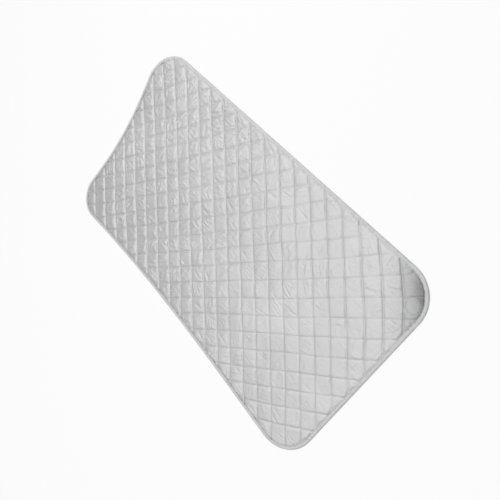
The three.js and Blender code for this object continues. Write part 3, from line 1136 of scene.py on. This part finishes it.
# puckers along the tape: a strength that swings round the outline, times the sum of sin(2 pi s / pitch +
# wander) for two pitches, each a whole number of times round; wander is a sum of waves with random heights
# that fade as 1 / sqrt(k), k being how many there are round the outline
def tapePuckers(along, total, shape):
    rng = np.random.default_rng(shape["seed"])
    turn = 2 * np.pi * along / total
    wander = np.zeros_like(along)
    for k in range(1, shape["wanderWaves"] + 1):
        height = rng.normal(0, 1.0) / math.sqrt(k)
        wander += height * np.sin(k * turn + rng.uniform(0, 2 * np.pi))
    swing = np.sin(shape["strengthWaves"] * turn + shape["strengthPhase"])
    strength = shape["strength"] + shape["strengthSwing"] * swing
    counts = [round(total / pitch) for pitch in shape["puckerPitch"]]
    return strength * sum(np.sin(count * turn + shape["wander"] * wander) for count in counts)


# painted shade on the tape: bells over height on the fold's outer side and over inset on the upper lip, laid
# darker in the valleys of the puckers, with more at the front and left
def paintedTapeShade(inset, height, facing, puckers, paint=tapeShadePaint):
    onSide = bell(height - paint["sideHeight"], paint["sideWidth"]) * (inset < paint["sideInset"])
    onLip = bell(inset - paint["lipInset"], paint["lipWidth"]) * (height > paint["lipHeight"])
    ofSide = paint["side"][0] + (paint["side"][1] - paint["side"][0]) * facing
    ofLip = paint["lip"][0] + (paint["lip"][1] - paint["lip"][0]) * facing
    ofLip = ofLip + paint["valley"] * np.clip(-puckers, 0, 1)
    return np.maximum(onSide[:, None] * ofSide, onLip[:, None] * ofLip)


# the tape's own map in millimetres: the run along the outline, and the run round the section
def mapTape(piece, along, total, ring):
    rows, columns = len(ring), len(along)
    lengths = np.linalg.norm(np.diff(ring, axis=0, append=ring[:1]), axis=1)
    v = np.concatenate([[0], np.cumsum(lengths)])
    u = np.concatenate([along, [total]])
    cornerU = np.stack([u[:-1], u[1:], u[1:], u[:-1]], axis=-1)[None].repeat(rows, axis=0)
    cornerV = np.stack([v[:-1], v[:-1], v[1:], v[1:]], axis=-1)[:, None].repeat(columns, axis=1)
    layer = piece.data.uv_layers.new(name="tape")
    layer.data.foreach_set("uv", np.stack([cornerU, cornerV], axis=-1).ravel())


# a strip folded round the edge: the section's points moved half the thickness to either side along its
# normal, carried round the outline, with puckers on its upper side that the stitching holds down
def makeBinding(shape):
    middle = np.array(shape["section"])
    run = np.gradient(middle, axis=0)
    run /= np.linalg.norm(run, axis=1, keepdims=True)
    normal = np.stack([run[:, 1], -run[:, 0]], axis=-1)  # points into the pad
    half = shape["thickness"] / 2
    ring = np.concatenate([middle - normal * half, (middle + normal * half)[::-1]])
    inset, height = ring[:, 0], ring[:, 1]
    x, y = edgeLoops(inset, shape["arcSteps"], shape["sideStep"])
    outerX, outerY = (line[0] for line in edgeLoops(0.0, shape["arcSteps"], shape["sideStep"]))
    steps = np.hypot(np.diff(outerX, append=outerX[:1]), np.diff(outerY, append=outerY[:1]))
    along = np.concatenate([[0], np.cumsum(steps)[:-1]])
    total = steps.sum()
    puckers = tapePuckers(along, total, shape)
    onTop = shareBetween(height, shape["puckerTop"]) * shareBetween(inset, shape["puckerInset"])
    free = 1 - shape["stitchHold"] * bell(inset - shape["stitchInset"], shape["stitchWidth"])
    z = height[:, None] + shape["pucker"] * (onTop * free)[:, None] * puckers[None, :]
    number = np.arange(z.size).reshape(z.shape)
    down, side = np.roll(number, -1, axis=0), np.roll(number, -1, axis=1)
    across = np.roll(down, -1, axis=1)
    faces = np.stack([number, side, across, down], axis=-1).reshape(-1, 4)
    points = np.stack([x, y, z], axis=-1).reshape(-1, 3)
    piece = addPiece("edge_binding_tape", points, [faces], bindingTape)
    # painted shade of the tape, kept per point for its material
    addPointValues(piece, "paintedShade", paintedTapeShade(inset, height, frontOrLeft(x, y), puckers).ravel())
    mapTape(piece, along, total, ring)
    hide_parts("edge_binding")
    width = np.linalg.norm(np.diff(middle, axis=0), axis=1).sum()
    return piece, width * mm, total * mm


binding, tapeWidth, tapeLength = makeBinding(bindingShape)
print("binding made:", len(binding.data.polygons), "faces")

# stitches

stitchShape = {
    "pitch": 3.1,
    "length": 2.5,
    "radius": 0.24,
    "sink": 0.32,
    "rings": (-1.0, -0.55, 0.0, 0.55, 1.0),  # places of a stitch's rings along its half length
    "thickness": (0.45, 0.9, 1.0, 0.9, 0.45),
    "risingLift": 0.12,      # height of a stitch's middle over the cloth
    "fallingLift": 0.18,
    "bindingHeight": 4.78,
    "tuck": 2.0,             # the seams run on under the binding by this much
    "lookAhead": 0.5,        # distance over which a stitch's direction along the binding is taken
}


# stitches as little spindles: four-sided rings along each, thin at the ends, their middles sunk by
# sink * t^2, t being the ring's place from -1 to 1
def stitchPoints(centres, ways, shape):
    t = np.array(shape["rings"])
    thick = shape["radius"] * np.array(shape["thickness"])
    turn = (np.arange(4) + 0.5) * np.pi / 2
    along = (t * shape["length"] / 2)[:, None].repeat(4, axis=1)
    aside = thick[:, None] * np.cos(turn)
    height = thick[:, None] * np.sin(turn) - shape["sink"] * (t ** 2)[:, None]
    way = np.concatenate([ways, np.zeros((len(ways), 1))], axis=1)[:, None, None]
    left = np.stack([-ways[:, 1], ways[:, 0], np.zeros(len(ways))], axis=-1)[:, None, None]
    points = centres[:, None, None] + along[..., None] * way + aside[..., None] * left
    points[..., 2] += height
    last = 4 * (len(t) - 1)
    k = np.arange(4)
    after = (k + 1) % 4
    rings = [r + np.stack([k, after, 4 + after, 4 + k], axis=-1) for r in range(0, last, 4)]
    ends = np.array([[3, 2, 1, 0], [last, last + 1, last + 2, last + 3]])
    one = np.concatenate(rings + [ends])
    faces = (one[None] + ((last + 4) * np.arange(len(centres)))[:, None, None]).reshape(-1, 4)
    return points.reshape(-1, 3), faces


# height of the finished cloth at quilting coordinates, from the nearest point of its grid
def clothHeight(p, q):
    steps = topShape["finer"] * topShape["steps"]
    last = 2 * quilt["reach"] * steps
    i = np.clip(np.round((p + quilt["reach"]) * steps), 0, last).astype(int)
    j = np.clip(np.round((q + quilt["reach"]) * steps), 0, last).astype(int)
    return topHeight[i, j]


# one family of seams, each a row of evenly spaced stitches from binding to binding
def makeQuiltStitches(name, node, isRising, shape):
    family = "rising" if isRising else "falling"
    perSeam = int(2 * quilt["reach"] * quilt[family + "Cell"] / shape["pitch"])
    first, last = quilt[family + "Seams"]
    seam = np.arange(first, last + 1)
    step = (np.arange(perSeam) + 0.5) / perSeam * 2 * quilt["reach"] - quilt["reach"]
    a, b = np.meshgrid(seam, step, indexing="ij")
    p, q = (b, a) if isRising else (a, b)
    x, y = quiltPlace(p, q)
    inside = edgeDistance(x, y) > quilt["lip"] - shape["tuck"]
    height = clothHeight(p, q) + shape[family + "Lift"]
    centres = np.stack([x[inside], y[inside], height[inside]], axis=-1)
    ways = np.tile(risingWay if isRising else fallingWay, (len(centres), 1))
    points, faces = stitchPoints(centres, ways, shape)
    piece = addPiece(name, points, [faces], sewingThread)
    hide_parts(node)
    return piece


# stitches along the binding, evenly spaced on the tape a little short of its inner edge, each pointing ahead
def makeBindingStitches(shape):
    x, y = (np.append(line[0], line[0, 0]) for line in edgeLoops(bindingShape["stitchInset"]))
    along = np.concatenate([[0], np.cumsum(np.hypot(np.diff(x), np.diff(y)))])
    total = along[-1]
    count = int(total / shape["pitch"])
    at = (np.arange(count) + 0.5) / count * total
    heights = np.full(count, shape["bindingHeight"])
    centres = np.stack([np.interp(at, along, x), np.interp(at, along, y), heights], axis=-1)
    ahead = [np.interp(at + shape["lookAhead"], along, line, period=total) for line in (x, y)]
    ways = np.stack(ahead, axis=-1) - centres[:, :2]
    ways /= np.linalg.norm(ways, axis=1, keepdims=True)
    points, faces = stitchPoints(centres, ways, shape)
    piece = addPiece("binding_stitches", points, [faces], sewingThread)
    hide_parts("binding_thread")
    return piece


stitches = (
    makeQuiltStitches("quilting_stitches_rising", "quilting_thread_rising", True, stitchShape),
    makeQuiltStitches("quilting_stitches_falling", "quilting_thread_falling", False, stitchShape),
    makeBindingStitches(stitchShape),
)
print("stitches made:", [len(piece.data.polygons) for piece in stitches], "faces")

for name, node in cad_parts.items():
    if name.startswith("magnet"):
        node.data.materials.clear()
        node.data.materials.append(ferrite)
print("magnets finished")

# stage

stageSetup = {
    "floorHalf": 6.0,
    "wallHeight": 2.5,
    "floorDrop": 0.0002,
    "floorColor": (0.86, 0.86, 0.86, 1.0),
    "floorRoughness": 0.9,
    "floorGloss": 0.1,
    "lift": 0.9,          # share of plain white in what the camera sees of the floor
    "worldFill": 0.22,
    "aim": (0.05, 0.05, 0.0),
    "longWay": (0.69, -0.72, 0.0),
    # place, width and length, and power of each soft box
    "boxes": {
        "key": ((-0.04, -0.04, 1.5), (1.8, 3.2), 26.6),
        "side": ((-0.75, 1.0, 0.95), (0.5, 1.3), 4.2),
    },
}


# 1 for rays from the camera, a gloss or a glass, 0 for the light that falls on things: greatest of the three
def seenDirectly(add, link):
    path = add("ShaderNodeLightPath")
    first = add("ShaderNodeMath", operation="MAXIMUM")
    second = add("ShaderNodeMath", operation="MAXIMUM")
    link(path.outputs["Is Camera Ray"], first.inputs[0])
    link(path.outputs["Is Glossy Ray"], first.inputs[1])
    link(first.outputs["Value"], second.inputs[0])
    link(path.outputs["Is Transmission Ray"], second.inputs[1])
    return second.outputs["Value"]


# matt white that keeps the pad's shadow: where it is seen directly, a share of plain white is mixed in
def floorMaterial(setup):
    material, shader, add, link = startMaterial("floor")
    shader.inputs["Base Color"].default_value = setup["floorColor"]
    shader.inputs["Roughness"].default_value = setup["floorRoughness"]
    shader.inputs["Specular IOR Level"].default_value = setup["floorGloss"]
    glow = add("ShaderNodeEmission", Strength=1.0)
    share = add("ShaderNodeMath", operation="MULTIPLY")
    share.inputs[1].default_value = setup["lift"]
    mix = add("ShaderNodeMixShader")
    link(seenDirectly(add, link), share.inputs[0])
    link(share.outputs["Value"], mix.inputs["Fac"])
    link(shader.outputs["BSDF"], mix.inputs[1])
    link(glow.outputs["Emission"], mix.inputs[2])
    link(mix.outputs["Shader"], material.node_tree.nodes["Material Output"].inputs["Surface"])
    return material


# a square floor with a low wall round it
def addFloor(setup):
    half, high = setup["floorHalf"], setup["wallHeight"]
    corners = [(-half, -half), (half, -half), (half, half), (-half, half)]
    points = [(x, y, z) for z in (0, high) for x, y in corners]
    walls = [(k, k + 4, (k + 1) % 4 + 4, (k + 1) % 4) for k in range(4)]
    mesh = bpy.data.meshes.new("floor")
    mesh.from_pydata(points, [], [(0, 1, 2, 3)] + walls)
    mesh.materials.append(floorMaterial(setup))
    floor = bpy.data.objects.new("floor", mesh)
    floor.location.z = -setup["floorDrop"]
    scene.collection.objects.link(floor)


# plain light from all round, and soft boxes that face the aim with their length along the long way
def addLight(setup):
    world = bpy.data.worlds.new("studio")
    world.use_nodes = True
    scene.world = world
    backdrop = world.node_tree.nodes["Background"]
    backdrop.inputs["Strength"].default_value = setup["worldFill"]
    backdrop.inputs["Color"].default_value = (1, 1, 1, 1)
    for name, (place, size, power) in setup["boxes"].items():
        light = bpy.data.lights.new(name, "AREA")
        light.shape = "RECTANGLE"
        light.size, light.size_y = size
        light.energy = power
        lamp = bpy.data.objects.new(name, light)
        backward = (Vector(place) - Vector(setup["aim"])).normalized()
        side = Vector(setup["longWay"]).cross(backward).normalized()
        axes = Matrix((side, backward.cross(side), backward)).transposed().to_4x4()
        lamp.matrix_world = Matrix.Translation(Vector(place)) @ axes
        scene.collection.objects.link(lamp)


addFloor(stageSetup)
addLight(stageSetup)
print("stage and light set")
